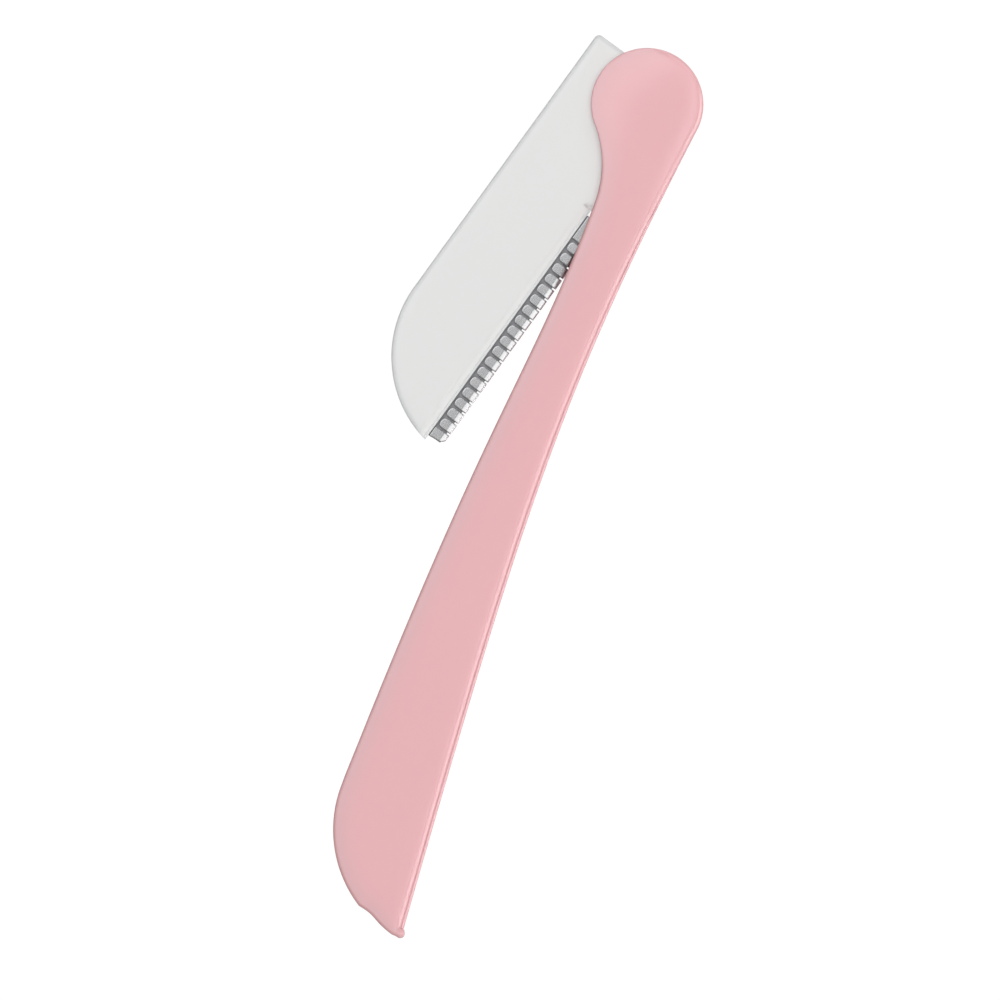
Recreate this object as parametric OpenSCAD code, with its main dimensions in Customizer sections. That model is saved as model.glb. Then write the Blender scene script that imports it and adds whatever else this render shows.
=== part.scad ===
// Folding eyebrow razor: a pink two-shell handle and a white blade holder that swings out of it.
// The origin is on the pivot axis at the back face. +Z points out of the front face, the handle
// runs along -Y to its tip, and the cutting edge swings out on the -X side.

/* [Handle] */
// Radius of the round end that holds the pivot
disc_r = 7.6; // [6.5:0.05:9]
// Distance from the pivot to the far tip
handle_reach = 117; // [105:1:130]
// Thickness of each shell's face
cheek_t = 1.3; // [1.1:0.1:1.6]
// Radius of the concave neck under the round end
neck_r = 15.3; // [14:0.1:20]
// Distance from the pivot to the narrowest point of the neck
neck_drop = 13.7; // [12:0.1:16]
// Reach of the belly to the left of the pivot
belly_depth = 13.65; // [11:0.05:16]
// Distance from the belly's widest point up from the tip
belly_rise = 16.25; // [12:0.05:20]
// Width of the back shell's rim that shows beside the front shell
rim_w = 0.45; // [0.3:0.05:0.8]
// Step from the front face down to the rim
rim_step = 0.6; // [0.3:0.1:0.9]
// Thickness of the wall along the spine
spine_wall = 1.4; // [1.1:0.1:1.8]
// Thickness of the wall round the lower chamber
chamber_wall = 1.2; // [0.8:0.1:1.8]
// Radius of the small curl at the tip
curl_r = 0.65; // [0.4:0.05:1]

/* [Pivot] */
// Radius of the pivot pin
pin_r = 1.25; // [0.9:0.05:1.8]
// Plastic left over each end of the pin
pin_skin = 0.45; // [0.3:0.05:0.6]
// Radius of the friction washers
washer_r = 3; // [2.5:0.1:3.2]
// Gap between the blade holder and each shell
side_gap = 0.2; // [0.15:0.05:0.4]

/* [Blade holder] */
// Thickness of the blade holder over both halves
holder_t = 3; // [2.6:0.1:4]
// Thickness of the back half
holder_back_t = 1.6; // [1.4:0.05:1.9]
// Distance from the pivot to the holder's straight back
holder_back = 11; // [9:0.1:13]
// Distance from the pivot to the plastic beside the guard
holder_edge = 2.25; // [1.8:0.05:2.6]
// Distance from the pivot to the plastic beside the root
root_edge = 3.3; // [3:0.1:3.6]
// Distance from the pivot to the holder's square end
root_end = 3.9; // [3.6:0.1:4.5]
// Distance from the pivot to the shoulder where the guard starts
shoulder_drop = 16; // [14:0.5:18]
// Distance from the pivot to the start of the rounded tip
tip_drop = 38.3; // [36:0.1:42]
// Radius of the rounded tip
tip_r = 16; // [14:0.5:18]
// Width of the soft bevel on the front along the guard
bevel_w = 1.3; // [0.8:0.1:2]
// Depth of that bevel at the edge
bevel_drop = 0.35; // [0.2:0.05:0.6]
// Angle between the holder and the handle in the photographed pose
head_angle = 19.5; // [10:0.5:170]

/* [Blade and guard] */
// Thickness of the blade
blade_t = 0.2; // [0.1:0.05:0.25]
// Thickness of the guard's steel sheet
sheet_t = 0.2; // [0.15:0.05:0.25]
// Width of the strip of blade and guard that is clamped in the holder
clamp_w = 4; // [3.4:0.1:4.5]
// How far the guard's fold stands out of the plastic
guard_out = 2.4; // [2:0.05:3]
// Radius of the guard's fold, outside
fold_r = 0.42; // [0.35:0.01:0.5]
// Distance from the guard's fold to the cutting edge
edge_setback = 0.5; // [0.45:0.05:0.7]
// Number of slots in the guard
slots = 19; // [8:1:19]
// Distance from slot to slot
slot_pitch = 1.72; // [1.5:0.01:1.75]
// Width of each slot
slot_w = 0.25; // [0.2:0.05:0.5]
// Length of the plain tab at the guard's far end
end_tab = 1.7; // [1:0.1:2.5]

/* [Hidden] */
$fn = 96;

// Overrun of every cut
over = 0.5;
// Points along each long curve and each arc of the handle's outline
curve_steps = 28;
arc_steps = 14;

// Colours
pink = [0.91, 0.69, 0.71];
white = [0.88, 0.88, 0.87];
steel = [0.78, 0.78, 0.79];
dark_steel = [0.5, 0.5, 0.52];
nylon = [0.95, 0.94, 0.9];

// Heights above the back face
channel_h = holder_t + side_gap + side_gap;
channel_top = cheek_t + channel_h;
handle_t = channel_top + cheek_t;
chamber_mid = cheek_t + channel_h / 2;
holder_z = cheek_t + side_gap;
part_z = holder_z + holder_back_t;
holder_top = holder_z + holder_t;
blade_z = part_z - blade_t;
leg_z = blade_z - sheet_t;

// Clearances: the pin in the shells and in the holder, a washer's play, the seam between the
// shells, a peg in its socket, the blade and guard in their pocket, and what moves past a stop
pin_seat = 0.02;
pin_run = 0.05;
washer_play = 0.02;
seam = 0.03;
peg_play = 0.02;
pocket_play = 0.1;
stop_gap = 0.1;

// How far the spine and the neck run into the round end, so that they cross its edge
blend = 0.02;

// Spine curve: where it leaves the round end, the pull of its two ends and its lean at the tip
spine_leave = 10.8;
spine_pull = 38.4;
spine_end_pull = 61.1;
spine_end_x = 0.02;
spine_end_lean = 0.5;
spine_end_rise = 0.6;
// How fast the rim beside the front shell widens below the round end
rim_grow = 8;

// Belly curve: its angle off the handle's line at the neck and at the belly, and its two pulls
neck_lean = 4;
belly_lean = 5.1;
neck_pull = 24.8;
belly_pull = 55.7;

// Slanted bottom edge: its left end, its middle and its toe beside the curl, and the small step
// where it meets the belly
slant_x = 5.3;
slant_rise = 2.2;
slant_mid_x = 3;
slant_mid_rise = 0.88;
toe_x = 1.4;
toe_rise = 0.2;
notch_w = 1.45;
notch_rise = 0.45;
curl_x = 0.33;

// Pegs that join the shells in the lower chamber
post_r = 1.6;
peg_r = 0.9;
peg_len = 1.5;
post_drop_shares = [0.6, 0.745, 0.89];
post_lean_share = 0.07;

// Rib that ends the channel, and the block that stops the holder as it closes
rib_gap = 0.9;
rib_t = 1.2;
stop_len = 3;
stop_drop = 10;
wall_gap = 0.35;

// Corners of the holder's root
back_corner_r = 0.7;
edge_corner_r = 2.2;

// Pegs in the holder: along its back, and through the blade
back_peg_r = 0.9;
back_peg_len = 0.9;
back_peg_in = 2.8;
stake_r = 0.7;
stake_len = 1.1;
stake_in = 2.7;
stake_shares = [0.14, 0.5, 0.85];
back_peg_shares = [0.19, 0.6, 1];

// Guard and blade
guard_inset = 0.8;
guard_start = shoulder_drop + guard_inset;
guard_edge = holder_edge + guard_out;
guard_tip_share = 0.9375;
guard_end = tip_drop + tip_r * guard_tip_share;
fold_x = guard_edge - fold_r;
fold_z = leg_z + fold_r;
last_slot = guard_end - end_tab;
finger_gap = 0.17;
finger_x = holder_edge + finger_gap;
finger_r = 0.6;
tab_gap = 0.05;
tab_x = holder_edge + tab_gap;
slot_reach = 1;
slot_root = fold_x - slot_reach;
blade_inset = 0.6;
grind_w = 0.7;
tip_wall = 0.5;

holder_tip = tip_drop + sqrt(tip_r * tip_r - pow(tip_r - holder_back - holder_edge, 2));
head_reach = norm([holder_edge, holder_tip]);
rib_r = head_reach + rib_gap;

// Outline of the handle

function bezier(p) = [for (i = [0:curve_steps])
    let (u = i / curve_steps, v = 1 - u)
    v * v * v * p[0] + 3 * v * v * u * p[1] + 3 * v * u * u * p[2] + u * u * u * p[3]];

function arc(c, r, a0, a1) = [for (i = [0:arc_steps])
    let (a = a0 + (a1 - a0) * i / arc_steps)
    c + r * [cos(a), sin(a)]];

function reversed(p) = [for (i = [len(p) - 1:-1:0]) p[i]];

// The right edge from the round end down to the tip, moved in by a distance
function spine(inset) =
    let (
        start = (disc_r - blend) * [cos(spine_leave), -sin(spine_leave)],
        end = [-spine_end_x, spine_end_rise - handle_reach]
    )
    [for (p = bezier([start,
                      start - spine_pull * [sin(spine_leave), cos(spine_leave)],
                      end + [-spine_end_lean, spine_end_pull],
                      end])) p - [inset, 0]];

// The same edge, but moved in by degrees, from nothing at the round end
function eased_spine(inset) =
    let (p = spine(0))
    [for (i = [0:curve_steps])
        p[i] - [inset * (1 - pow(1 - i / curve_steps, rim_grow)), 0]];

slant_left = [-slant_x, slant_rise - handle_reach];
slant_mid = [-slant_mid_x, slant_mid_rise - handle_reach];
notch = slant_left + [-notch_w, notch_rise];
toe = [-toe_x, toe_rise - handle_reach];

// The bottom edge runs on from its toe into the curl, as a tangent
curl_c = [-curl_x, curl_r - handle_reach];
toe_away = toe - curl_c;
toe_turn = atan2(toe_away.y, toe_away.x) + acos(curl_r / norm(toe_away));
toe_end = curl_c + (curl_r - blend) * [cos(toe_turn), sin(toe_turn)];

// The belly's lower arc passes its widest point and ends at the notch
belly_y = belly_rise - handle_reach;
belly_r = (pow(notch.x + belly_depth, 2) + pow(notch.y - belly_y, 2))
    / (2 * (notch.x + belly_depth));
belly_c = [belly_r - belly_depth, belly_y];
notch_turn = atan2(belly_y - notch.y, belly_c.x - notch.x);

// The neck's arc runs smoothly into the round end
neck_c = [-sqrt(pow(disc_r + neck_r - blend, 2) - pow(neck_drop, 2)), -neck_drop];
neck_turn = atan2(neck_drop, -neck_c.x);

// The left edge from the notch up to the round end, moved in by a distance
function belly(inset) =
    let (
        low = belly_c - belly_r * [cos(belly_lean), -sin(belly_lean)],
        high = neck_c + neck_r * [cos(neck_lean), -sin(neck_lean)]
    )
    concat(
        arc(belly_c, belly_r - inset, 180 + notch_turn, 180 - belly_lean),
        [for (p = bezier([low,
                          low + belly_pull * [sin(belly_lean), cos(belly_lean)],
                          high - neck_pull * [sin(neck_lean), cos(neck_lean)],
                          high])) p + [inset, 0]],
        arc(neck_c, neck_r + inset, -neck_lean, neck_turn));

function outline(right, left, foot) = concat(
    [[0, 0]],
    [for (p = right) if (foot == 0 || p.y > toe.y + foot) p],
    foot == 0 ? [toe_end] : [],
    [toe + [0, foot], slant_mid + [0, foot], slant_left + [0, foot]],
    belly(left));

// The closed angle leaves the guard's fold clear of the spine wall at every point
closed_angle = max([for (p = spine(spine_wall))
    if (norm(p) > guard_start && norm(p) < head_reach)
        atan2(-p.y, p.x) - acos((guard_edge + wall_gap) / norm(p))]);

module round_end() {
    circle(r = disc_r);
}

module handle_plan() {
    polygon(outline(spine(0), 0, 0));
    round_end();
    tip_curl(0);
}

module tip_curl(grow) {
    translate(curl_c)
        circle(r = curl_r + grow);
}

// A strip along the spine, in from the outline to a given edge, below the stop that the holder's
// square end meets when open
module spine_strip(edge) {
    difference() {
        polygon(concat(spine(0), reversed(edge)));
        translate([0, -root_end - stop_gap])
            square(2 * disc_r);
    }
}

// The wall round the lower chamber, on the belly side and the slanted foot
module chamber_plan() {
    difference() {
        polygon(outline(spine(0), 0, 0));
        polygon(outline(spine(spine_wall), chamber_wall, chamber_wall));
        circle(r = rib_r);
        spine_strip(spine(spine_wall));
    }
}

module rib_plan() {
    intersection() {
        polygon(outline(spine(0), 0, 0));
        difference() {
            circle(r = rib_r + rib_t);
            circle(r = rib_r);
        }
    }
}

// A block against the spine that the root's edge meets when the razor is closed
module stop_plan() {
    intersection() {
        polygon(outline(spine(0), 0, 0));
        rotate(-closed_angle)
            translate([root_edge + stop_gap, -stop_drop - stop_len])
                square([disc_r, stop_len]);
    }
}

module prism(low, high) {
    translate([0, 0, low])
        linear_extrude(height = high - low)
            children();
}

module at_posts() {
    for (share = post_drop_shares)
        translate(share * handle_reach * [-post_lean_share, -1])
            children();
}

module handle_back_shell() {
    color(pink)
        difference() {
            union() {
                prism(0, cheek_t)
                    handle_plan();
                prism(cheek_t, channel_top) {
                    spine_strip(spine(spine_wall));
                    rib_plan();
                    stop_plan();
                    at_posts()
                        circle(r = post_r);
                }
                prism(cheek_t, chamber_mid)
                    chamber_plan();
                prism(channel_top, handle_t - rim_step)
                    difference() {
                        spine_strip(eased_spine(rim_w));
                        front_plan();
                        circle(r = disc_r + seam);
                        tip_curl(seam);
                    }
                prism(cheek_t, channel_top)
                    tip_curl(0);
            }
            prism(pin_skin - pin_seat, cheek_t + over)
                circle(r = pin_r + pin_seat);
            prism(channel_top - peg_len - peg_play, channel_top + over)
                at_posts()
                    circle(r = peg_r + peg_play);
        }
}

module front_plan() {
    polygon(outline(eased_spine(rim_w + seam), 0, 0));
    round_end();
    tip_curl(0);
}

module handle_front_shell() {
    color(pink)
        difference() {
            union() {
                prism(channel_top, handle_t)
                    front_plan();
                prism(chamber_mid, channel_top)
                    difference() {
                        chamber_plan();
                        circle(r = rib_r + rib_t + seam);
                        spine_strip(spine(spine_wall + seam));
                        tip_curl(seam);
                    }
                prism(channel_top - peg_len, channel_top)
                    at_posts()
                        circle(r = peg_r);
            }
            prism(channel_top - over, handle_t - pin_skin + pin_seat)
                circle(r = pin_r + pin_seat);
        }
}

module pivot_pin() {
    color(steel)
        prism(pin_skin, handle_t - pin_skin)
            circle(r = pin_r);
}

module friction_washers() {
    color(nylon)
        for (low = [cheek_t + washer_play, holder_top + washer_play])
            prism(low, low + side_gap - washer_play - washer_play)
                difference() {
                    circle(r = washer_r);
                    circle(r = pin_r + pin_run);
                }
}

// The blade holder, drawn along -Y with its cutting edge on +X, then turned to its pose

module head() {
    rotate(-head_angle)
        children();
}

module corner(r) {
    difference() {
        square(r + over);
        circle(r = r);
    }
}

module tip_disc(inset) {
    translate([tip_r - holder_back, -tip_drop])
        circle(r = tip_r - inset);
}

module holder_plan() {
    difference() {
        union() {
            translate([-holder_back, -tip_drop])
                square([holder_back + holder_edge, tip_drop + root_end]);
            translate([0, -shoulder_drop])
                square([root_edge, shoulder_drop + root_end]);
            intersection() {
                tip_disc(0);
                translate([-holder_back, -tip_drop - tip_r])
                    square([holder_back + holder_edge, tip_r]);
            }
        }
        translate([back_corner_r - holder_back, root_end - back_corner_r])
            rotate(90)
                corner(back_corner_r);
        translate([root_edge - edge_corner_r, root_end - edge_corner_r])
            corner(edge_corner_r);
    }
}

// The strip that blade and guard share inside the holder, out to a given reach
module strip_plan(start, end, back, reach, inset) {
    intersection() {
        translate([-back, -end])
            square([back + reach, end - start]);
        union() {
            tip_disc(inset);
            translate([-holder_back, -tip_drop])
                square([holder_back + guard_edge + over, tip_drop]);
        }
    }
}

module at_stakes() {
    for (share = stake_shares)
        translate([holder_edge - stake_in, share * (guard_start - guard_end) - guard_start])
            children();
}

module at_back_pegs() {
    for (share = back_peg_shares)
        translate([back_peg_in - holder_back, -share * tip_drop])
            children();
}

module holder_back_half() {
    color(white)
        head()
            difference() {
                prism(holder_z, part_z)
                    holder_plan();
                prism(leg_z, part_z + over)
                    strip_plan(guard_start - pocket_play, guard_end + pocket_play,
                               clamp_w - holder_edge + pocket_play, holder_edge + over,
                               tip_wall);
                prism(holder_z - over, part_z + over)
                    circle(r = pin_r + pin_run);
                prism(part_z - stake_len - peg_play, part_z)
                    at_stakes()
                        circle(r = stake_r + peg_play);
                prism(part_z - back_peg_len - peg_play, part_z + over)
                    at_back_pegs()
                        circle(r = back_peg_r + peg_play);
            }
}

module front_bevel() {
    translate([0, -shoulder_drop])
        rotate([90, 0, 0])
            linear_extrude(height = holder_tip)
                polygon([[holder_edge - bevel_w, holder_top],
                         [holder_edge, holder_top - bevel_drop],
                         [holder_edge + over, holder_top - bevel_drop],
                         [holder_edge + over, holder_top + over],
                         [holder_edge - bevel_w, holder_top + over]]);
}

module holder_front_half() {
    color(white)
        head()
            difference() {
                union() {
                    prism(part_z, holder_top)
                        holder_plan();
                    prism(part_z - stake_len, part_z)
                        at_stakes()
                            circle(r = stake_r);
                    prism(part_z - back_peg_len, part_z)
                        at_back_pegs()
                            circle(r = back_peg_r);
                }
                prism(part_z - over, holder_top + over)
                    circle(r = pin_r + pin_run);
                front_bevel();
            }
}

module blade() {
    edge = guard_edge - edge_setback;
    color(dark_steel)
        head()
            difference() {
                intersection() {
                    prism(blade_z, part_z)
                        strip_plan(guard_start, guard_end - pocket_play,
                                   clamp_w - holder_edge, edge, blade_inset);
                    translate([0, over, 0])
                        rotate([90, 0, 0])
                            linear_extrude(height = guard_end + over)
                                polygon([[-holder_back, blade_z],
                                         [edge - grind_w, blade_z],
                                         [edge, blade_z + blade_t / 2],
                                         [edge - grind_w, part_z],
                                         [-holder_back, part_z]]);
                }
                prism(blade_z - over, part_z + over)
                    at_stakes()
                        circle(r = stake_r + pocket_play);
            }
}

// The guard's sheet seen from its end: both legs and the fold between them
module guard_bend(r, start) {
    translate([fold_x, fold_z])
        circle(r = r);
    translate([start, fold_z - r])
        square([fold_x - start, 2 * r]);
}

module guard_sheet() {
    translate([0, -guard_start, 0])
        rotate([90, 0, 0])
            linear_extrude(height = guard_end - guard_start)
                difference() {
                    guard_bend(fold_r, tab_x);
                    guard_bend(fold_r - sheet_t, tab_x - over);
                }
}

// The mouth of a slot in the front leg, between the rounded corners of two fingers
module slot_mouth() {
    difference() {
        translate([finger_x - over, -finger_r - slot_w / 2])
            square([finger_r + over, 2 * finger_r + slot_w]);
        for (side = [-1, 1])
            translate([finger_x + finger_r, side * (finger_r + slot_w / 2)])
                circle(r = finger_r);
    }
    translate([finger_x, -slot_w / 2])
        square([guard_edge - finger_x + over, slot_w]);
}

module at_slots() {
    for (i = [0:slots - 1])
        translate([0, i * slot_pitch - last_slot])
            children();
}

module blade_guard() {
    color(steel)
        head()
            difference() {
                union() {
                    prism(leg_z, blade_z)
                        strip_plan(guard_start, guard_end, clamp_w - holder_edge, fold_x,
                                   blade_inset);
                    guard_sheet();
                }
                prism(fold_z, fold_z + fold_r + over) {
                    at_slots()
                        slot_mouth();
                    translate([tab_x - over, -last_slot])
                        square([finger_x - tab_x + over, (slots - 1) * slot_pitch]);
                }
                prism(leg_z - over, fold_z + over)
                    at_slots()
                        translate([slot_root, -slot_w / 2])
                            square([guard_edge - slot_root + over, slot_w]);
                prism(leg_z - over, blade_z + over)
                    at_stakes()
                        circle(r = stake_r + pocket_play);
            }
}

handle_back_shell();
handle_front_shell();
pivot_pin();
friction_washers();
holder_back_half();
holder_front_half();
blade();
blade_guard();
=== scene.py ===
import math

import bmesh
import bpy
import numpy as np
from mathutils import Matrix, Vector
from mathutils.geometry import delaunay_2d_cdt


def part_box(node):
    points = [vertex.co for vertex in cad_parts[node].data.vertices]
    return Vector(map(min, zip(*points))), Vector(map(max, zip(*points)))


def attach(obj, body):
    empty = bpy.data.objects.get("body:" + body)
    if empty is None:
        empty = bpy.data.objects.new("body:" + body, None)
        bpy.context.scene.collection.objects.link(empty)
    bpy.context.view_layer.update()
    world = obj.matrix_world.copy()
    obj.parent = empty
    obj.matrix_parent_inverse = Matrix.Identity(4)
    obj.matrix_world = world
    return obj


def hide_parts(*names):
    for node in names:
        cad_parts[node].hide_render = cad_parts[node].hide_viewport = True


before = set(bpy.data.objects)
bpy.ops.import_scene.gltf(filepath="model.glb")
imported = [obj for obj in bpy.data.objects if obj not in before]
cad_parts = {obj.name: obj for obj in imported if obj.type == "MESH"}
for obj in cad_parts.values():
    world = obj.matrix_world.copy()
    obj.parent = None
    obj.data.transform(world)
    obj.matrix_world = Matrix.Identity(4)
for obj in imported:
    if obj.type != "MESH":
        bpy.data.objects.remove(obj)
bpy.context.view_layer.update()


# Camera
# Looks straight down on the front face, far enough away that nothing is foreshortened. It is
# turned so that the handle leans as in the photograph. The razor's sizes are in millimetres,
# and those of the floor and the lights in metres.

MM = 0.001
handle_lean = 16.42
px_per_mm = 7.44
frame_px = 1000
frame_centre = (-3.935, -56.64)
front_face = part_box("handle_front_shell")[1].z

lens_data = bpy.data.cameras.new("camera")
lens_data.lens = 500
lens_data.sensor_width = 36
camera = bpy.data.objects.new("camera", lens_data)
camera_height = lens_data.lens / lens_data.sensor_width * frame_px / px_per_mm * MM
camera.matrix_world = (
    Matrix.Translation((frame_centre[0] * MM, frame_centre[1] * MM, front_face + camera_height))
    @ Matrix.Rotation(math.radians(handle_lean), 4, "Z"))
bpy.context.scene.collection.objects.link(camera)
bpy.context.scene.camera = camera
bpy.context.scene.view_settings.view_transform = "Standard"


# Floor and background
# A plain white table top. The camera and polished metal see it as white, and the razor's own
# soft shadow stays on it.

def material(name):
    """A new node material, its node tree and its shader."""
    made = bpy.data.materials.new(name)
    made.use_nodes = True
    return made, made.node_tree, made.node_tree.nodes["Principled BSDF"]


floor_half = 1.6
floor_drop = 0.00002
# How much of what the camera sees of the table is plain white, and how bright that white is
white_share, white_level = 0.93, 1.04
# Brightness of the surroundings, as they light the razor and as the camera sees them
surround_level, backdrop_level = 0.37, 1

table, tree, shader = material("table_white")
shader.inputs["Base Color"].default_value = (0.86, 0.86, 0.86, 1)
shader.inputs["Roughness"].default_value = 0.9
path = tree.nodes.new("ShaderNodeLightPath")
seen = tree.nodes.new("ShaderNodeMath")
seen.operation = "MAXIMUM"
tree.links.new(path.outputs["Is Camera Ray"], seen.inputs[0])
tree.links.new(path.outputs["Is Glossy Ray"], seen.inputs[1])
shown = tree.nodes.new("ShaderNodeMath")
shown.operation = "MAXIMUM"
tree.links.new(seen.outputs[0], shown.inputs[0])
tree.links.new(path.outputs["Is Transmission Ray"], shown.inputs[1])
share = tree.nodes.new("ShaderNodeMath")
share.operation = "MULTIPLY"
share.inputs[1].default_value = white_share
tree.links.new(shown.outputs[0], share.inputs[0])
white = tree.nodes.new("ShaderNodeEmission")
white.inputs["Strength"].default_value = white_level
mix = tree.nodes.new("ShaderNodeMixShader")
tree.links.new(share.outputs[0], mix.inputs[0])
tree.links.new(shader.outputs[0], mix.inputs[1])
tree.links.new(white.outputs[0], mix.inputs[2])
tree.links.new(mix.outputs[0], tree.nodes["Material Output"].inputs["Surface"])

floor_mesh = bpy.data.meshes.new("floor")
floor_mesh.from_pydata(
    [(x * floor_half, y * floor_half, -floor_drop)
     for x, y in ((-1, -1), (1, -1), (1, 1), (-1, 1))], [], [(0, 1, 2, 3)])
floor_mesh.materials.append(table)
floor = bpy.data.objects.new("floor", floor_mesh)
bpy.context.scene.collection.objects.link(floor)

world = bpy.data.worlds.new("studio")
bpy.context.scene.world = world
world.use_nodes = True
tree = world.node_tree
surround = tree.nodes["Background"]
surround.inputs["Color"].default_value = (1, 1, 1, 1)
surround.inputs["Strength"].default_value = surround_level
backdrop = tree.nodes.new("ShaderNodeBackground")
backdrop.inputs["Color"].default_value = (1, 1, 1, 1)
backdrop.inputs["Strength"].default_value = backdrop_level
path = tree.nodes.new("ShaderNodeLightPath")
mix = tree.nodes.new("ShaderNodeMixShader")
tree.links.new(path.outputs["Is Camera Ray"], mix.inputs[0])
tree.links.new(surround.outputs[0], mix.inputs[1])
tree.links.new(backdrop.outputs[0], mix.inputs[2])
tree.links.new(mix.outputs[0], tree.nodes["World Output"].inputs["Surface"])


# Lights
# Soft panels round the camera: one overhead, a broad one at the upper left, a narrow one at the
# right that whitens the guard's slope, and two brighter strips low on the right and the top that
# draw the thin lines along the spine edges. The right strip is a fill without a shadow.

lamp_distance = 2


def panel(name, turn, tilt, across, along, level, tint=(1, 1, 1), shadow=True):
    """A soft panel that faces the middle of the picture: its turn from the picture's right, its
    tilt from straight above, its size in degrees seen from there, and its brightness."""
    data = bpy.data.lights.new(name, "AREA")
    data.shape = "RECTANGLE"
    data.size = 2 * lamp_distance * math.tan(math.radians(across / 2))
    data.size_y = 2 * lamp_distance * math.tan(math.radians(along / 2))
    data.energy = level * math.pi * data.size * data.size_y
    data.color = tint
    data.use_shadow = shadow
    lamp = bpy.data.objects.new(name, data)
    lamp.matrix_world = (
        Matrix.Translation((frame_centre[0] * MM, frame_centre[1] * MM, 0))
        @ Matrix.Rotation(math.radians(handle_lean + turn), 4, "Z")
        @ Matrix.Rotation(math.radians(tilt), 4, "Y")
        @ Matrix.Translation((0, 0, lamp_distance)))
    lamp.visible_camera = False
    bpy.context.scene.collection.objects.link(lamp)


panel("overhead", turn=0, tilt=0, across=50, along=50, level=0.33)
panel("upper_left", turn=130, tilt=19, across=27, along=56, level=2.1, tint=(0.96, 0.98, 1))
panel("right", turn=-20, tilt=20, across=9, along=60, level=2)
panel("top_strip", turn=62, tilt=56, across=6, along=60, level=3.5)
panel("right_strip", turn=-24, tilt=56, across=5.5, along=74, level=9, shadow=False)


# Front handle shell
# The face of the handle: pale pink moulded plastic with a satin gloss, pressed onto the back
# shell. Its edge is rounded, it rolls off gently towards the edge, and the round end is domed.

# The solids come as loose triangles, whose corners are the same point within this, in metres
corner_weld = 1e-7


def rim_of(node, level, flat_within=0.01):
    """The outer edge of a node's flat faces at one height, anticlockwise, in mm."""
    bm = bmesh.new()
    bm.from_mesh(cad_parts[node].data)
    bmesh.ops.remove_doubles(bm, verts=bm.verts, dist=corner_weld)
    flat = {f for f in bm.faces if all(abs(v.co.z / MM - level) < flat_within for v in f.verts)}
    after = {}
    for face in flat:
        for loop in face.loops:
            if loop.link_loop_radial_next.face not in flat:
                after[loop.vert] = loop.link_loop_next.vert
    best, best_area = None, 0
    while after:
        vert, following = after.popitem()
        ring = [vert]
        while following in after:
            ring.append(following)
            following = after.pop(following)
        points = np.array([(v.co.x, v.co.y) for v in ring]) / MM
        nxt = np.roll(points, -1, 0)
        area = np.sum(points[:, 0] * nxt[:, 1] - points[:, 1] * nxt[:, 0]) / 2
        if abs(area) > abs(best_area):
            best, best_area = points, area
    bm.free()
    return best if best_area > 0 else best[::-1]


def fair(rim, step, straight_over=6.5, corner_over=20):
    """Close points along the smooth curve through a rim's points, kept straight on long edges
    and sharp at corners."""
    edge = np.roll(rim, -1, 0) - rim
    length = np.linalg.norm(edge, axis=1)[:, None]
    way = edge / length
    before, length_before = np.roll(way, 1, 0), np.roll(length, 1, 0)
    turn = np.degrees(np.arccos(np.clip(np.sum(way * before, axis=1), -1, 1)))
    tangent = before * length + way * length_before
    tangent = np.where(length_before > straight_over, before, tangent)
    tangent = np.where(length > straight_over, way, tangent)
    tangent /= np.linalg.norm(tangent, axis=1)[:, None]
    points = []
    for i in range(len(rim)):
        j = (i + 1) % len(rim)
        start = way[i] if turn[i] > corner_over else tangent[i]
        end = way[i] if turn[j] > corner_over else tangent[j]
        count = max(1, round(length[i, 0] / step))
        u = np.arange(count)[:, None] / count
        points.append((2 * u**3 - 3 * u**2 + 1) * rim[i] + (3 * u**2 - 2 * u**3) * rim[j]
                      + length[i] * ((u**3 - 2 * u**2 + u) * start + (u**3 - u**2) * end))
    return np.vstack(points)


def inward(loop, sharpest=0.3):
    """At each point of a loop, the way inwards, lengthened at corners so that insets mitre."""
    ahead = np.roll(loop, -1, 0) - loop
    ahead /= np.linalg.norm(ahead, axis=1)[:, None]
    way = ahead + np.roll(ahead, 1, 0)
    half = np.linalg.norm(way, axis=1)[:, None] / 2
    way /= 2 * half
    return np.stack([-way[:, 1], way[:, 0]], axis=1) / np.clip(half, sharpest, 1)


def gap_to(points, loop, batch=400):
    """Distance of each point from a loop, worked out for a batch of points at a time."""
    nxt = np.roll(loop, -1, 0)
    edge = nxt - loop
    size = np.sum(edge * edge, axis=1)
    found = []
    for part in np.array_split(points, max(1, len(points) // batch)):
        offset = part[:, None] - loop[None]
        u = np.clip(np.sum(offset * edge, axis=2) / size, 0, 1)
        found.append(np.linalg.norm(offset - u[..., None] * edge, axis=2).min(axis=1))
    return np.concatenate(found)


def within(points, loop):
    """Which points lie inside a loop."""
    nxt = np.roll(loop, -1, 0)
    x, y = points[:, 0][:, None], points[:, 1][:, None]
    crosses = (loop[:, 1] > y) != (nxt[:, 1] > y)
    rise = np.where(nxt[:, 1] == loop[:, 1], 1, nxt[:, 1] - loop[:, 1])
    at = loop[:, 0] + (y - loop[:, 1]) / rise * (nxt[:, 0] - loop[:, 0])
    return np.sum(crosses & (x < at), axis=1) % 2 == 1


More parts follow.
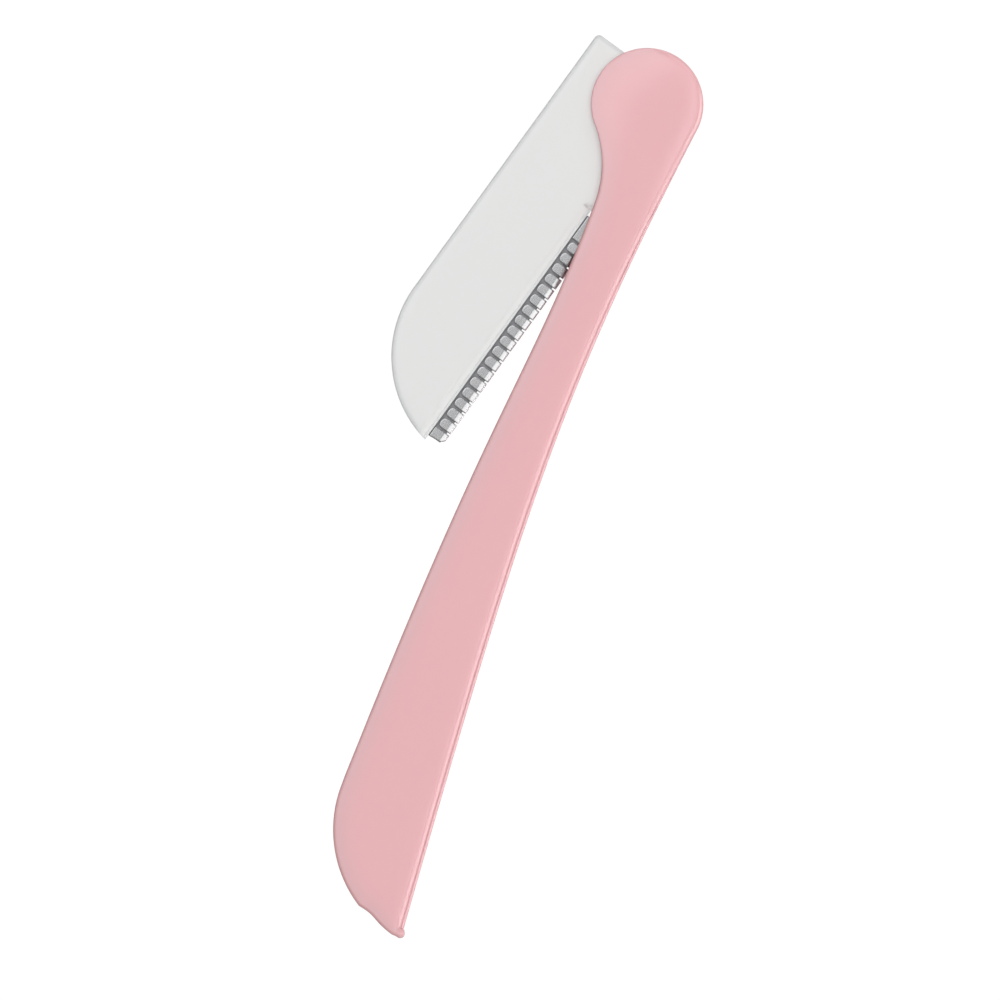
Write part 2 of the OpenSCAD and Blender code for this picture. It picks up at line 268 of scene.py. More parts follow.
def face_of(loop, insets, spacing, height, clear=0.98, same=1e-6):
    """Points and triangles that fill a loop: rings at the insets, without what folds back at
    corners, then a grid inside them."""
    way = inward(loop)
    parts = [loop]
    for inset in insets:
        ring = loop + way * inset
        parts.append(ring[gap_to(ring, loop) > clear * inset])
    low, high = loop.min(0), loop.max(0)
    grid = np.stack(np.meshgrid(np.arange(low[0], high[0], spacing),
                                np.arange(low[1], high[1], spacing)), axis=-1).reshape(-1, 2)
    grid = grid[within(grid, loop)]
    parts.append(grid[gap_to(grid, loop) > insets[-1] + spacing / 3])
    count = len(loop)
    points, _, faces, source, _, _ = delaunay_2d_cdt(
        [Vector(p) for p in np.vstack(parts)],
        [(i, (i + 1) % count) for i in range(count)], [], 1, same)
    place = {}
    for i, came in enumerate(source):
        for number in came:
            place[number] = i
    flat = np.array([tuple(p) for p in points])
    z = height(flat, gap_to(flat, loop))
    return np.column_stack([flat, z]), faces, [place[i] for i in range(count)]


def moulding(name, rim, top_height, low_height, insets, spacing):
    """A closed solid between two curved faces with the same rim, in mm."""
    top, top_faces, top_rim = face_of(rim, insets, spacing, top_height)
    low, low_faces, low_rim = face_of(rim, insets, spacing, low_height)
    shift = len(top)
    faces = [tuple(f) for f in top_faces]
    faces += [tuple(shift + i for i in reversed(f)) for f in low_faces]
    for i in range(len(rim)):
        j = (i + 1) % len(rim)
        faces.append((top_rim[j], top_rim[i], shift + low_rim[i], shift + low_rim[j]))
    mesh = bpy.data.meshes.new(name)
    mesh.from_pydata((np.vstack([top, low]) * MM).tolist(), [], faces)
    bm = bmesh.new()
    bm.from_mesh(mesh)
    bmesh.ops.recalc_face_normals(bm, faces=bm.faces)
    bm.to_mesh(mesh)
    bm.free()
    piece = bpy.data.objects.new(name, mesh)
    bpy.context.scene.collection.objects.link(piece)
    return piece


def keep_inside(piece, node):
    """Cuts a piece to a node's solid, so that it has the node's walls, ribs and holes."""
    solid = bpy.data.meshes.new("solid")
    bm = bmesh.new()
    bm.from_mesh(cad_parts[node].data)
    bmesh.ops.remove_doubles(bm, verts=bm.verts, dist=corner_weld)
    bm.to_mesh(solid)
    bm.free()
    cutter = bpy.data.objects.new("cutter", solid)
    bpy.context.scene.collection.objects.link(cutter)
    cut = piece.modifiers.new("cut", "BOOLEAN")
    cut.operation = "INTERSECT"
    cut.solver = "MANIFOLD"
    cut.object = cutter
    apply_modifiers(piece)
    bpy.data.objects.remove(cutter)
    bpy.data.meshes.remove(solid)


def apply_modifiers(piece):
    """Turns a piece's modifiers into its plain mesh."""
    graph = bpy.context.evaluated_depsgraph_get()
    made = bpy.data.meshes.new_from_object(piece.evaluated_get(graph))
    old = piece.data
    piece.modifiers.clear()
    piece.data = made
    made.name = piece.name
    bpy.data.meshes.remove(old)


def coat(piece, made):
    """Gives a piece one material all over."""
    piece.data.materials.clear()
    piece.data.materials.append(made)
    piece.data.polygons.foreach_set("material_index", [0] * len(piece.data.polygons))


def dress(piece, made, sharp_over=35):
    """Gives a piece one material all over and smooth shading that keeps sharp edges."""
    coat(piece, made)
    piece.data.shade_smooth()
    piece.data.set_sharp_from_angle(angle=math.radians(sharp_over))


def rounding(d, width, drop=None):
    """Drop of a rounded edge at distance d from it: a quarter round, or flatter with a drop."""
    u = 1 - np.minimum(d, width) / width
    return (drop or width) * (1 - np.sqrt(1 - u * u))


def roll_off(d, width, drop, steepness=2.2):
    """Drop of a gentle roll towards the edge."""
    return drop * np.clip(1 - d / width, 0, 1)**steepness


def ease(share):
    """A share that runs from 0 to 1, made to start and end gently."""
    return share**2 * (3 - 2 * share)


def moulded_plastic(name, colour, edge_shade_tint, line_shade_tint, roughness, glow, mottling=0.008,
                    unevenness=0.04):
    """Satin moulded plastic: faint mottling, a trace of mould texture, light that spreads a
    little under the skin, painted shade in a broad darker band towards the edge, and a narrow
    painted dark line of shade at the edge itself."""
    made, tree, shader = material(name)
    place = tree.nodes.new("ShaderNodeTexCoord")
    mottle = tree.nodes.new("ShaderNodeTexNoise")
    mottle.inputs["Scale"].default_value = 45
    mottle.inputs["Detail"].default_value = 1
    tree.links.new(place.outputs["Object"], mottle.inputs["Vector"])
    shade = tree.nodes.new("ShaderNodeValToRGB")
    shade.color_ramp.elements[0].position = 0.2
    shade.color_ramp.elements[0].color = (*[(1 - mottling) * c for c in colour], 1)
    shade.color_ramp.elements[1].position = 0.8
    shade.color_ramp.elements[1].color = (*colour, 1)
    tree.links.new(mottle.outputs["Fac"], shade.inputs["Fac"])
    # Painted shade: a darker tint in a broad band towards the edge, by a stored share
    painted_edge_shade = tree.nodes.new("ShaderNodeAttribute")
    painted_edge_shade.attribute_name = "painted_edge_shade"
    tinted = tree.nodes.new("ShaderNodeMix")
    tinted.data_type = "RGBA"
    tinted.inputs["B"].default_value = (*edge_shade_tint, 1)
    tree.links.new(painted_edge_shade.outputs["Fac"], tinted.inputs["Factor"])
    tree.links.new(shade.outputs["Color"], tinted.inputs["A"])
    # Painted shade: a narrow dark line at the edge, by a stored share
    rim = tree.nodes.new("ShaderNodeAttribute")
    rim.attribute_name = "edge"
    lined = tree.nodes.new("ShaderNodeMix")
    lined.data_type = "RGBA"
    lined.inputs["B"].default_value = (*line_shade_tint, 1)
    tree.links.new(rim.outputs["Fac"], lined.inputs["Factor"])
    tree.links.new(tinted.outputs["Result"], lined.inputs["A"])
    tree.links.new(lined.outputs["Result"], shader.inputs["Base Color"])
    skin = tree.nodes.new("ShaderNodeTexNoise")
    skin.inputs["Scale"].default_value = 900
    skin.inputs["Detail"].default_value = 4
    tree.links.new(place.outputs["Object"], skin.inputs["Vector"])
    gloss = tree.nodes.new("ShaderNodeMapRange")
    gloss.inputs["To Min"].default_value = roughness - unevenness
    gloss.inputs["To Max"].default_value = roughness + unevenness
    tree.links.new(skin.outputs["Fac"], gloss.inputs["Value"])
    tree.links.new(gloss.outputs["Result"], shader.inputs["Roughness"])
    bump = tree.nodes.new("ShaderNodeBump")
    bump.inputs["Strength"].default_value = 0.05
    bump.inputs["Distance"].default_value = 0.02 * MM
    tree.links.new(skin.outputs["Fac"], bump.inputs["Height"])
    tree.links.new(bump.outputs["Normal"], shader.inputs["Normal"])
    shader.inputs["IOR"].default_value = 1.52
    shader.inputs["Subsurface Weight"].default_value = glow
    shader.inputs["Subsurface Radius"].default_value = (1, 0.6, 0.6)
    shader.inputs["Subsurface Scale"].default_value = 0.6 * MM
    return made


def mark_edge(piece, rim, width, line_from, line_to, shares, steepness=1.5):
    """Stores how near each point of a piece is to its rim, for the two painted shades of its
    material: over a width, and from one distance to another. The share of each differs by place."""
    at = np.array([tuple(v.co) for v in piece.data.vertices]) / MM
    d = gap_to(at[:, :2], rim)
    tint, line = shares(at)
    tint = tint * np.clip(1 - d / width, 0, 1)**steepness
    line = line * np.clip((line_to - d) / (line_to - line_from), 0, 1)
    for name, share in (("painted_edge_shade", tint), ("edge", line)):
        piece.data.attributes.new(name, "FLOAT", "POINT").data.foreach_set("value", share)


# Distance of points along a rim and over a face, and of a shell's rim from its solid's wall
rim_step, grid_step, rim_gap = 0.3, 1.2, 0.03
# Drop of the edge on the spine's side: a steep round outside and a narrow slope inside it
spine_at = (0, 0.03, 0.08, 0.16, 0.25, 0.35, 0.45, 0.55, 0.63, 0.75)
spine_drop = (0.34, 0.27, 0.22, 0.173, 0.136, 0.097, 0.058, 0.021, 0.004, 0)
# The crisper round of the edge on the other side
edge_r, edge_drop = 0.16, 0.24
# The line down the handle's middle that parts the two sides, from the tip up, and the width
# over which one side passes into the other
middle_y = (-117, -115.8, -112, -100, -60, -14, -8)
middle_x = (0.5, -1.5, -3.5, -6.5, -4.5, 1, 0)
middle_blend = 3
# The gentle roll towards the edge, and how much of it the belly's side has
roll_w, roll_drop, belly_roll_share = 2.6, 0.2, 0.4
# Drop of the dome at its radius, how far down the handle it fades out, and the share of the
# edge's slopes that it takes over
dome, dome_r, dome_end, dome_ease = 0.5, 7.6, 24, 0.32
# The broad painted shade near the edge, and what is left of it at the round end
tint_w, end_tint_share = 3.4, 0.5
# The painted dark line of shade at the edge: where it starts to fade inwards, where it is gone,
# and how far down the wall it reaches
line_from, line_to, line_depth = 0.22, 0.42, 1.2
# Where the line comes in below the pivot on the belly's side, and at the round end's other side
belly_line_y, belly_line_fade = -4, 8
end_line_y, end_line_fade, end_line_share = -8, 5, 0.3
# The plane where the shells meet, the chamfer there, and what the parting line keeps open
parting, parting_chamfer, parting_open = 3.0, 0.12, 0.004
# How far the moulding reaches past the faces inside, which the solid cuts back
overrun = 1
shell_insets = [*spine_at[1:], 1.1, 1.5, 2, 2.7]

pink = moulded_plastic("pink_plastic", (0.785, 0.435, 0.455), edge_shade_tint=(0.675, 0.425, 0.445),
                       line_shade_tint=(0.54, 0.28, 0.28), roughness=0.2, glow=0.12)
front_rim = fair(rim_of("handle_front_shell", front_face / MM), rim_step)
front_rim += inward(front_rim) * rim_gap


def spine_side(p):
    """How far points lie on the spine's side of the handle, from 0 to 1."""
    from_middle = p[:, 0] - np.interp(p[:, 1], middle_y, middle_x)
    return np.clip(from_middle / middle_blend + 0.5, 0, 1)


def round_end_share(p):
    """How near points are to the round end, from 0 to 1."""
    return ease(np.clip(1 + p[:, 1] / dome_end, 0, 1))


def shell_edge(p, d):
    """Drop of a shell's face towards its edge, by side of the handle."""
    side, end = spine_side(p), round_end_share(p)
    edge = (side * np.interp(d, spine_at, spine_drop)
            + (1 - side) * rounding(d, edge_r, edge_drop))
    rolled = 1 - (1 - belly_roll_share) * (1 - side)
    return (1 - dome_ease * end) * edge + rolled * roll_off(d, roll_w, roll_drop)


def edge_shares(at, outer):
    """How much of each painted shade shows: the broad one away from the spine, and the line on
    the outside of the belly and the foot, and fainter on the spine's side of the round end."""
    side = spine_side(at)
    line = ((1 - side) * np.clip((belly_line_y - at[:, 1]) / belly_line_fade, 0, 1)
            + end_line_share * side * np.clip((at[:, 1] - end_line_y) / end_line_fade, 0, 1))
    return (1 - side) * (1 - end_tint_share * round_end_share(at)), line * outer


def front_top(p, d):
    """Height of the handle's face."""
    away = (p[:, 0]**2 + np.maximum(p[:, 1], 0)**2) / dome_r**2
    return front_face / MM - shell_edge(p, d) - dome * away * round_end_share(p)


def front_low(p, d):
    """Height of the face that meets the back shell."""
    return (parting + np.clip(parting_chamfer - d, 0, 1)
            - np.where(d > parting_chamfer, overrun, 0))


def press_on(piece, rim, beside, left_open, reach=1, widest=0.15):
    """Moves a shell's edge out to the strip beside it, so that the parting line closes. The
    shift fades over a reach, and a gap that is wider than the parting line stays."""
    flat = np.array([(v.co.x, v.co.y) for v in piece.data.vertices]) / MM
    from_rim, from_strip = gap_to(flat, rim), gap_to(flat, beside)
    gap = from_strip - from_rim
    amount = np.clip(1 - from_rim / reach, 0, 1)**2 * (gap - left_open) * (gap < widest)
    step = 0.005
    slope = np.stack([gap_to(flat + (step, 0), beside) - from_strip,
                      gap_to(flat + (0, step), beside) - from_strip], axis=1) / step
    for vert, way, shift in zip(piece.data.vertices, slope, amount * MM):
        if shift > 0:
            vert.co.x -= way[0] * shift
            vert.co.y -= way[1] * shift


front_shell = moulding("front_shell", front_rim, front_top, front_low, shell_insets,
                       grid_step)
keep_inside(front_shell, "handle_front_shell")
strip_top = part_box("handle_back_shell")[1].z / MM
press_on(front_shell, front_rim, rim_of("handle_back_shell", strip_top), parting_open)
# Painted shade: a darker band towards the edge, most on the belly's side, and a dark line at the
# edge
mark_edge(front_shell, front_rim, tint_w, line_from, line_to,
          lambda at: edge_shares(at, at[:, 2] > front_face / MM - line_depth))
dress(front_shell, pink)
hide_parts("handle_front_shell")
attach(front_shell, "handle")


# Back handle shell
# The other half of the handle, of the same plastic, with the walls, the rib and the stop moulded
# in. It shows from the front as a narrow rim along the spine and as the small curl at the tip.

back_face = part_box("handle_back_shell")[0].z
# The rim beside the front shell: its height, and its drop towards the outside
rim_top = strip_top - 0.02
rim_at, rim_drop = (0, 0.03, 0.08, 0.25, 0.35, 0.45), (0.25, 0.175, 0.135, 0.045, 0.006, 0)
# Edges shorter than this are left over from cutting
sliver = 0.002

back_rim = fair(rim_of("handle_back_shell", back_face / MM), rim_step)
back_rim += inward(back_rim) * rim_gap


def dissolve_slivers(piece, length):
    """Dissolves a piece's edges that are shorter than a length."""
    bm = bmesh.new()
    bm.from_mesh(piece.data)
    bmesh.ops.dissolve_degenerate(bm, dist=length * MM, edges=bm.edges)
    bm.to_mesh(piece.data)
    bm.free()


def back_top(p, d):
    """Height of the rim, above all faces inside, which the solid cuts back."""
    return rim_top - np.interp(d, rim_at, rim_drop)


def back_low(p, d):
    """Height of the handle's back."""
    return back_face / MM + shell_edge(p, d)


back_shell = moulding("back_shell", back_rim, back_top, back_low, shell_insets, grid_step)
keep_inside(back_shell, "handle_back_shell")
dissolve_slivers(back_shell, sliver)
# Painted shade: a darker band towards the edge, most on the belly's side, and a dark line at the
# edge
mark_edge(back_shell, back_rim, tint_w, line_from, line_to,
          lambda at: edge_shares(at, at[:, 2] < back_face / MM + line_depth))
dress(back_shell, pink)
# Large faces rule the shading, so that they look flat up to their edges
evened = back_shell.modifiers.new("evened", "WEIGHTED_NORMAL")
evened.keep_sharp = True
apply_modifiers(back_shell)
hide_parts("handle_back_shell")
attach(back_shell, "handle")


# Blade holder, front half
# The white body that swings out of the handle. Along the guard its face rolls down into a fine
# crease and a narrow raised lip. Its other edges are rounded.

holder_turn = 19.5
holder_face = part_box("holder_front_half")[1].z
holder_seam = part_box("holder_back_half")[1].z
# The rounded edge, and the gentle roll towards it
holder_edge_r, holder_edge_drop = 0.3, 0.17
holder_roll_w, holder_roll_drop = 1.6, 0.12
# The painted shade line at the edge, as on the handle, and where it fades out before the guard
holder_line_from, holder_line_to, holder_line_depth = 0.36, 0.64, 0.6
holder_line_end, holder_line_fade = 0.8, 0.5
# The chamfer where the halves meet, and how far each reaches past it for its solid to cut back
seam_chamfer, holder_overrun = 0.06, 1.5
# How far down the holder the slope and lip along the guard start and are full
lip_start, lip_full = 15.2, 16.0
# What is left of the edge's own rounding where the lip is
lip_edge_share = 0.5
# Drop of the face towards the guard, from the roll to the crease and over the lip
lip_at = (0.9, 1.05, 1.2, 1.35, 1.5, 1.65, 1.78, 1.87, 1.95, 2.03, 2.1, 2.18, 2.24)
lip_drop = (0, 0.012, 0.05, 0.12, 0.198, 0.275, 0.355, 0.42, 0.36, 0.335, 0.342, 0.365, 0.385)
holder_rim_gap = 0.01
holder_insets = [0.02, 0.05, 0.075, 0.1, 0.14, 0.18, 0.22, 0.25, 0.29, 0.33, 0.37, 0.42, 0.52,
                 0.67, 0.87, 1.07, 1.27, 1.42, 1.6]

turn_cos = math.cos(math.radians(holder_turn))
turn_sin = math.sin(math.radians(holder_turn))


def along_holder(p):
    """Where points lie on the holder: out towards the cutting edge, and down from the pivot."""
    return p[:, 0] * turn_cos - p[:, 1] * turn_sin, -p[:, 0] * turn_sin - p[:, 1] * turn_cos


def holder_line(at):
    """Where the holder's painted shade line at the edge shows: everywhere but along the guard."""
    return np.clip((holder_line_end - along_holder(at)[0]) / holder_line_fade, 0, 1)


white_abs = moulded_plastic("white_plastic", (0.735, 0.735, 0.722), edge_shade_tint=(0.7, 0.705, 0.7),
                            line_shade_tint=(0.62, 0.62, 0.62), roughness=0.3, glow=0.1)
holder_rim = fair(rim_of("holder_front_half", holder_seam / MM), rim_step)
holder_rim += inward(holder_rim) * holder_rim_gap


def holder_top(p, d):
    """Height of the holder's face."""
    out, down = along_holder(p)
    ramp = np.clip((down - lip_start) / (lip_full - lip_start), 0, 1)
    lip = np.interp(out, lip_at, lip_drop) * ease(ramp)
    edge = (rounding(d, holder_edge_r, holder_edge_drop)
            + roll_off(d, holder_roll_w, holder_roll_drop))
    return holder_face / MM - np.maximum(edge * np.where(lip > 0, lip_edge_share, 1), lip)


def holder_under(p, d):
    """Height of the face that meets the back half."""
    return (holder_seam / MM + np.clip(seam_chamfer - d, 0, 1)
            - np.where(d > seam_chamfer, holder_overrun, 0))


front_half = moulding("holder_front", holder_rim, holder_top, holder_under, holder_insets,
                      grid_step)
keep_inside(front_half, "holder_front_half")
# Painted shade: a darker band towards the edges, and a dark line at the edge but along the guard
mark_edge(front_half, holder_rim, holder_roll_w, holder_line_from, holder_line_to,
          lambda at: (1, holder_line(at) * (at[:, 2] > holder_face / MM - holder_line_depth)))
dress(front_half, white_abs)
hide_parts("holder_front_half")
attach(front_half, "blade_head")


# Blade holder, back half
# The same white plastic, pressed onto the front half by its pegs, with the blade and the guard
# between them. Its back face rolls off like the handle's.

holder_back_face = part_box("holder_back_half")[0].z
back_half_rim = fair(rim_of("holder_back_half", holder_back_face / MM), rim_step)
back_half_rim += inward(back_half_rim) * holder_rim_gap


def back_half_top(p, d):
    """Height of the face that meets the front half."""
    return (holder_seam / MM - np.clip(seam_chamfer - d, 0, 1)
            + np.where(d > seam_chamfer, holder_overrun, 0))


def back_half_low(p, d):
    """Height of the holder's back."""
    return (holder_back_face / MM + rounding(d, holder_edge_r, holder_edge_drop)
            + roll_off(d, holder_roll_w, holder_roll_drop))


back_half = moulding("holder_back", back_half_rim, back_half_top, back_half_low,
                     holder_insets, grid_step)
keep_inside(back_half, "holder_back_half")
# Painted shade: a darker band towards the edges, and a dark line at the edge but along the guard
mark_edge(back_half, back_half_rim, holder_roll_w, holder_line_from, holder_line_to,
          lambda at: (1, holder_line(at)
                      * (at[:, 2] < holder_back_face / MM + holder_line_depth)))
dress(back_half, white_abs)
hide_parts("holder_back_half")
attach(back_half, "blade_head")


# Guard
# Polished steel sheet folded round the cutting edge, so that only the thin edge in its slots can
# cut. Between the slots it leaves fingers with rounded, coined tips that point at the plastic.

sheet_t = 0.2
slot_w, slot_pitch, slot_root = 0.25, 1.72, 3.23
half_slot = slot_w / 2
fingers = 18
# Down the holder: the guard's upper end, its last slot and its lower end
guard_start, last_slot, guard_end = 16.8, 51.6, 53.3
upper_end = last_slot - fingers * slot_pitch
# Out on the holder: where fingers and tabs end on the front, and the rounds of their corners
finger_tip, tab_tip = 2.49, 2.33
tip_r, tab_r = 0.6, 0.08
# Height of the sheet's middle in its back leg and its front leg
leg_z, front_leg_z = 2.8, 3.44
# The sheet's middle line on the front and round the edge: flat leg, slope, tight fold, back leg
fold_line = [(3.2, front_leg_z), (3.7, front_leg_z), (3.82, front_leg_z), (3.94, 3.425),
             (4.46, 3.338), (4.53, 3.3), (4.55, 3.2), (4.55, 2.9), (4.49, 2.81), (4.36, leg_z)]
# Rows of points on the clamped strip, from the slots' roots to its hidden edge
strip_x = [slot_root - 0.1, 2.2, 1, 0, -1, -1.8]
# The coined rim: distance from a finger's edge, drop and painted shade there (which dims
# its highlight), and one more row inside it
coin_at, coin_drop, coin_painted_shade = (0, 0.04, 0.1, 0.22), (0.045, 0.01, 0, 0), (-0.5, -0.5, -0.35, 0)
coin_inside = 0.3
# Only the sheet above this is coined, which is its front
coined_above = 3
# A painted highlight that lightens the steel's colour comes in towards the fold
fold_highlight_at, fold_painted_highlight = (4.44, 4.51), (0, 1)
# The lower end leans a little, rounds off at the fold and follows the holder's tip inside it
end_lean = 0.1
end_round, end_round_from, end_round_over = 0.8, 3.6, 1.06
end_arc_out, end_arc_down, end_arc_r = 5, 38.3, 15.4
# Points of leaves that meet are one within this
weld_within = 0.0004


def steel(name, colour, roughness, grain, unevenness=0.2):
    """Rolled steel: fine straight grain along the holder in its gloss and its surface, and a
    painted shade that darkens the coined rims and a painted highlight that lightens the fold."""
    made, tree, shader = material(name)
    place = tree.nodes.new("ShaderNodeTexCoord")
    turned = tree.nodes.new("ShaderNodeMapping")
    turned.inputs["Rotation"].default_value = (0, 0, math.radians(holder_turn))
    stretched = tree.nodes.new("ShaderNodeMapping")
    stretched.inputs["Scale"].default_value = (9000, 400, 9000)
    tree.links.new(place.outputs["Object"], turned.inputs["Vector"])
    tree.links.new(turned.outputs["Vector"], stretched.inputs["Vector"])
    lines = tree.nodes.new("ShaderNodeTexNoise")
    lines.inputs["Scale"].default_value = 1
    lines.inputs["Detail"].default_value = 2
    tree.links.new(stretched.outputs["Vector"], lines.inputs["Vector"])
    tone = tree.nodes.new("ShaderNodeValToRGB")
    tone.color_ramp.elements[0].color = (*[c * (1 - grain) for c in colour], 1)
    tone.color_ramp.elements[1].color = (*colour, 1)
    tree.links.new(lines.outputs["Fac"], tone.inputs["Fac"])
    # Painted shade and painted highlight, stored as a share: darker on coined rims, lighter at
    # the fold
    painted_light = tree.nodes.new("ShaderNodeAttribute")
    painted_light.attribute_name = "tone"
    level = tree.nodes.new("ShaderNodeMath")
    level.inputs[1].default_value = 1
    tree.links.new(painted_light.outputs["Fac"], level.inputs[0])
    toned = tree.nodes.new("ShaderNodeVectorMath")
    toned.operation = "SCALE"
    tree.links.new(tone.outputs["Color"], toned.inputs["Vector"])
    tree.links.new(level.outputs["Value"], toned.inputs["Scale"])
    tree.links.new(toned.outputs["Vector"], shader.inputs["Base Color"])
    gloss = tree.nodes.new("ShaderNodeMapRange")
    gloss.inputs["To Min"].default_value = roughness * (1 - unevenness)
    gloss.inputs["To Max"].default_value = roughness * (1 + unevenness)
    tree.links.new(lines.outputs["Fac"], gloss.inputs["Value"])
    tree.links.new(gloss.outputs["Result"], shader.inputs["Roughness"])
    bump = tree.nodes.new("ShaderNodeBump")
    bump.inputs["Strength"].default_value = grain
    bump.inputs["Distance"].default_value = 0.005 * MM
    tree.links.new(lines.outputs["Fac"], bump.inputs["Height"])
    tree.links.new(bump.outputs["Normal"], shader.inputs["Normal"])
    shader.inputs["Metallic"].default_value = 1
    return made


def rounded_line(points, rounds=3):
    """A line through points with its corners cut round, ends kept."""
    line = np.array(points, float)
    for _ in range(rounds):
        near, far = line[:-1] * 0.75 + line[1:] * 0.25, line[:-1] * 0.25 + line[1:] * 0.75
        cut = np.stack([near, far], axis=1).reshape(-1, 2)
        line = np.vstack([line[:1], cut[1:-1], line[-1:]])
    return line


def leaf(tip, corner, low, high, strip_low, strip_high, open_low, open_high):
    """One finger or tab with its piece of the clamped strip: points (out, down and up on the
    holder), the painted shade or highlight of each, and faces. The four limits say how far
    down the holder each side lies at a distance out, on the leaf and on its strip. A side left
    open joins the next leaf."""
    steps = [tip + corner * (1 - math.cos(math.radians(a))) for a in range(0, 91, 15)]
    steps += [tip + w for w in (*coin_at[2:], coin_inside) if w > corner]
    bend = rounded_line(fold_line + [(slot_root + half_slot, leg_z)])
    root = [slot_root + half_slot * math.cos(math.radians(a)) for a in (30, 60, 90)]
    line = np.vstack([[(x, front_leg_z) for x in steps], bend,
                      [(x, leg_z) for x in root + strip_x]])
    ahead = np.gradient(line, axis=0)
    ahead /= np.linalg.norm(ahead, axis=1)[:, None]
    # Points across the sheet's front, all round it, and the rows before the clamped strip
    top = 2 * len(coin_at) + 1
    across = top + 4
    closed = len(line) - len(strip_x)
    points, tones, faces = [], [], []
    for i, ((x, z), (ax, az)) in enumerate(zip(line, ahead)):
        a, b = (strip_low(x), strip_high(x)) if i >= closed else (low(x), high(x))
        if closed > i >= closed - len(root):
            opened = 1 - math.sqrt(max(0, 1 - ((slot_root + half_slot - x) / half_slot)**2))
            a += (strip_low(x) - a) * opened
            b += (strip_high(x) - b) * opened
        if i < len(steps) and x < tip + corner:
            inset = corner - math.sqrt(max(0, corner**2 - (tip + corner - x)**2))
            a, b = a + inset, b - inset
        for side, row in ((1, coin_at), (-1, coin_at[:2])):
            spots = [a + w for w in row] + ([(a + b) / 2] if side > 0 else [])
            spots += [b - w for w in reversed(row)]
            if side < 0:
                spots.reverse()
            for y in spots:
                d = min(y - a, b - y)
                if i < len(steps):
                    beside = max(low(x) + corner - y, y - high(x) + corner, 0)
                    behind = tip + corner - x
                    d = (corner - math.hypot(beside, behind) if behind > 0
                         else min(d, x - tip))
                coined = side > 0 and z > coined_above
                tone = np.interp(d, coin_at, coin_painted_shade) if coined else 0
                drop = np.interp(d, coin_at, coin_drop) if coined else 0
                up = side * (sheet_t / 2 - drop)
                points.append((x - az * up, y, z + ax * up))
                # Painted shade on the coined rim, or a painted highlight towards the fold,
                # whichever is stronger
                tones.append(max(tone, np.interp(x, fold_highlight_at, fold_painted_highlight), key=abs))
    for i in range(len(line) - 1):
        for k in range(across):
            m = (k + 1) % across
            if i >= closed - 1 and ((k == across - 1 and open_low)
                                    or (k == top - 1 and open_high)):
                continue
            faces.append((i * across + k, i * across + m,
                          (i + 1) * across + m, (i + 1) * across + k))
    faces.append(tuple(range(across)))
    faces.append(tuple(reversed(range(len(points) - across, len(points)))))
    return points, tones, faces


def on_holder(points):
    """Points out, down and up on the holder, in mm, as points of the model."""
    return [((x * turn_cos - y * turn_sin) * MM, (-x * turn_sin - y * turn_cos) * MM, z * MM)
            for x, y, z in points]


def tip_limit(x):
    """How far down the guard's lower end reaches, rounded at the fold and inside the holder."""
    past = max(0, x - end_round_from) / end_round_over
    folded = (guard_end - end_lean * (x - tab_tip)
              - end_round * (1 - math.sqrt(max(0, 1 - past**2))))
    return min(folded, end_arc_down + math.sqrt(end_arc_r**2 - (end_arc_out - x)**2))


def repeat_tree():
    """Repeats the incoming mesh along a line, welds the copies and gives them a material."""
    tree = bpy.data.node_groups.new("repeat_fingers", "GeometryNodeTree")
    face = tree.interface
    face.new_socket("Geometry", in_out="INPUT", socket_type="NodeSocketGeometry")
    face.new_socket("Count", in_out="INPUT", socket_type="NodeSocketInt")
    face.new_socket("Step", in_out="INPUT", socket_type="NodeSocketVector")
    face.new_socket("Weld", in_out="INPUT", socket_type="NodeSocketFloat")
    face.new_socket("Material", in_out="INPUT", socket_type="NodeSocketMaterial")
    face.new_socket("Geometry", in_out="OUTPUT", socket_type="NodeSocketGeometry")
    given = tree.nodes.new("NodeGroupInput")
    line = tree.nodes.new("GeometryNodeMeshLine")
    spread = tree.nodes.new("GeometryNodeInstanceOnPoints")
    real = tree.nodes.new("GeometryNodeRealizeInstances")
    weld = tree.nodes.new("GeometryNodeMergeByDistance")
    dressed = tree.nodes.new("GeometryNodeSetMaterial")
    result = tree.nodes.new("NodeGroupOutput")
    tree.links.new(given.outputs["Count"], line.inputs["Count"])
    tree.links.new(given.outputs["Step"], line.inputs["Offset"])
    tree.links.new(line.outputs["Mesh"], spread.inputs["Points"])
    tree.links.new(given.outputs["Geometry"], spread.inputs["Instance"])
    tree.links.new(spread.outputs["Instances"], real.inputs["Geometry"])
    tree.links.new(real.outputs["Geometry"], weld.inputs["Geometry"])
    tree.links.new(given.outputs["Weld"], weld.inputs["Distance"])
    tree.links.new(weld.outputs["Geometry"], dressed.inputs["Geometry"])
    tree.links.new(given.outputs["Material"], dressed.inputs["Material"])
    tree.links.new(dressed.outputs["Geometry"], result.inputs["Geometry"])
    return tree


def set_inputs(modifier, values):
    """Sets a node modifier's named inputs by their identifiers."""
    for item in modifier.node_group.interface.items_tree:
        if item.in_out == "INPUT" and item.name in values:
            modifier[item.identifier] = values[item.name]


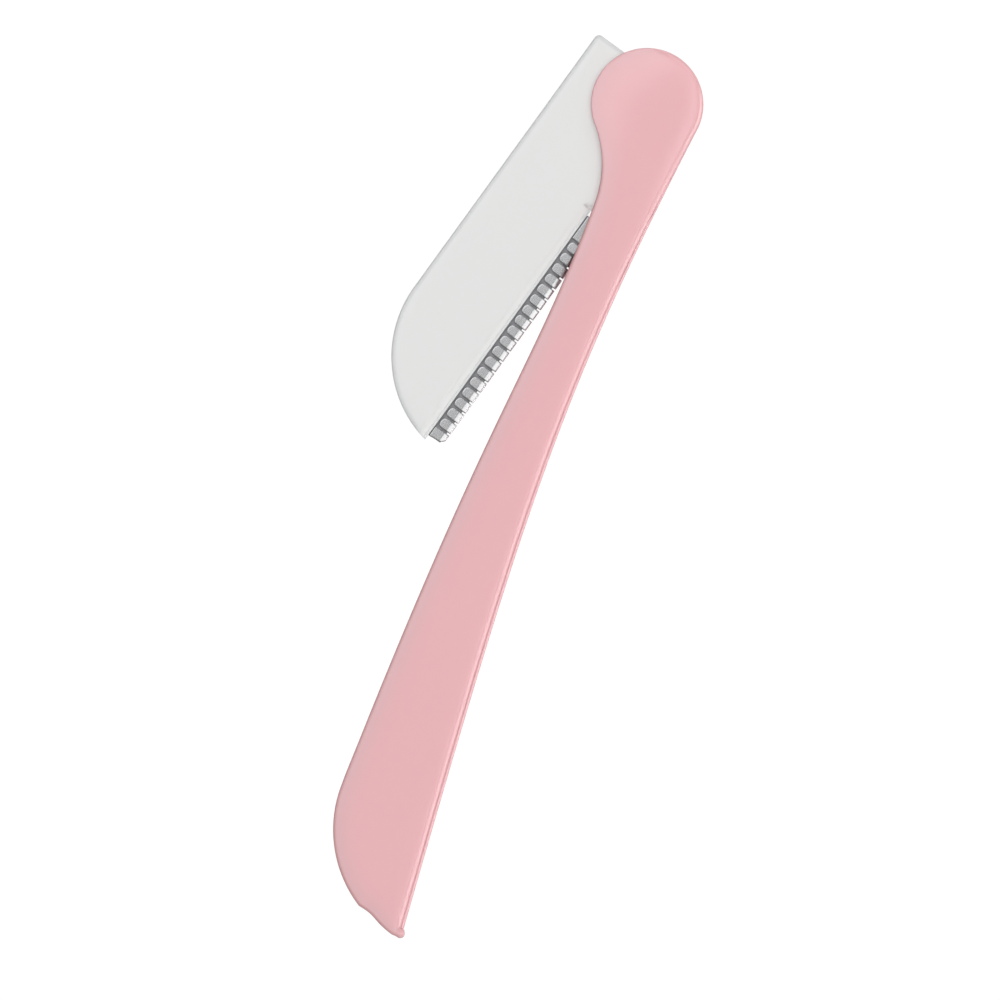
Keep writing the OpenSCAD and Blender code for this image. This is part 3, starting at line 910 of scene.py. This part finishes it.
guard_steel = steel("guard_steel", (0.48, 0.48, 0.485), roughness=0.2, grain=0.1)
cell_points, cell_tones, cell_faces = leaf(
    finger_tip, tip_r,
    low=lambda x: last_slot - slot_pitch + half_slot, high=lambda x: last_slot - half_slot,
    strip_low=lambda x: last_slot - slot_pitch, strip_high=lambda x: last_slot,
    open_low=True, open_high=True)
guard_mesh = bpy.data.meshes.new("guard")
guard_mesh.from_pydata(on_holder(cell_points), [], cell_faces)
guard_mesh.attributes.new("tone", "FLOAT", "POINT").data.foreach_set("value", cell_tones)
guard = bpy.data.objects.new("guard", guard_mesh)
bpy.context.scene.collection.objects.link(guard)
row_of_fingers = guard.modifiers.new("fingers", "NODES")
row_of_fingers.node_group = repeat_tree()
set_inputs(row_of_fingers, {
    "Count": fingers, "Step": [slot_pitch * turn_sin * MM, slot_pitch * turn_cos * MM, 0],
    "Weld": weld_within * MM, "Material": guard_steel})
apply_modifiers(guard)

upper_tab = leaf(
    tab_tip, tab_r,
    low=lambda x: guard_start, high=lambda x: upper_end - half_slot,
    strip_low=lambda x: guard_start, strip_high=lambda x: upper_end,
    open_low=False, open_high=True)
lower_tab = leaf(
    tab_tip, tab_r,
    low=lambda x: last_slot + half_slot, high=tip_limit,
    strip_low=lambda x: last_slot, strip_high=tip_limit,
    open_low=True, open_high=False)
bm = bmesh.new()
bm.from_mesh(guard.data)
tone_layer = bm.verts.layers.float["tone"]
for tab_points, tab_tones, tab_faces in (upper_tab, lower_tab):
    verts = [bm.verts.new(p) for p in on_holder(tab_points)]
    for vert, tone in zip(verts, tab_tones):
        vert[tone_layer] = tone
    for face in tab_faces:
        bm.faces.new([verts[i] for i in face])
bmesh.ops.remove_doubles(bm, verts=bm.verts, dist=weld_within * MM)
bmesh.ops.recalc_face_normals(bm, faces=bm.faces)
bm.to_mesh(guard.data)
bm.free()
dress(guard, guard_steel, sharp_over=40)
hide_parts("blade_guard")
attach(guard, "blade_head")


# Blade
# Thin ground steel between the holder's halves, held by their pegs. Only its edge is bare, inside
# the guard.

# Its dark colour is partly painted shade, so that the blade reads dark in the gap and the slots
blade_steel = steel("blade_steel", (0.24, 0.24, 0.25), roughness=0.4, grain=0.25)
coat(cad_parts["blade"], blade_steel)


# Pivot pin and washers
# Hidden inside: a plain turned steel pin that sits in blind holes of the two shells, and a nylon
# washer on each side of the holder, whose friction keeps it where it is put.

natural = (0.85, 0.83, 0.78)
pin_steel = steel("pin_steel", (0.55, 0.55, 0.56), roughness=0.3, grain=0.15)
coat(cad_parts["pivot_pin"], pin_steel)
nylon = moulded_plastic("nylon", natural, edge_shade_tint=natural, line_shade_tint=natural, roughness=0.5,
                        glow=0.1)
coat(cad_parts["friction_washers"], nylon)
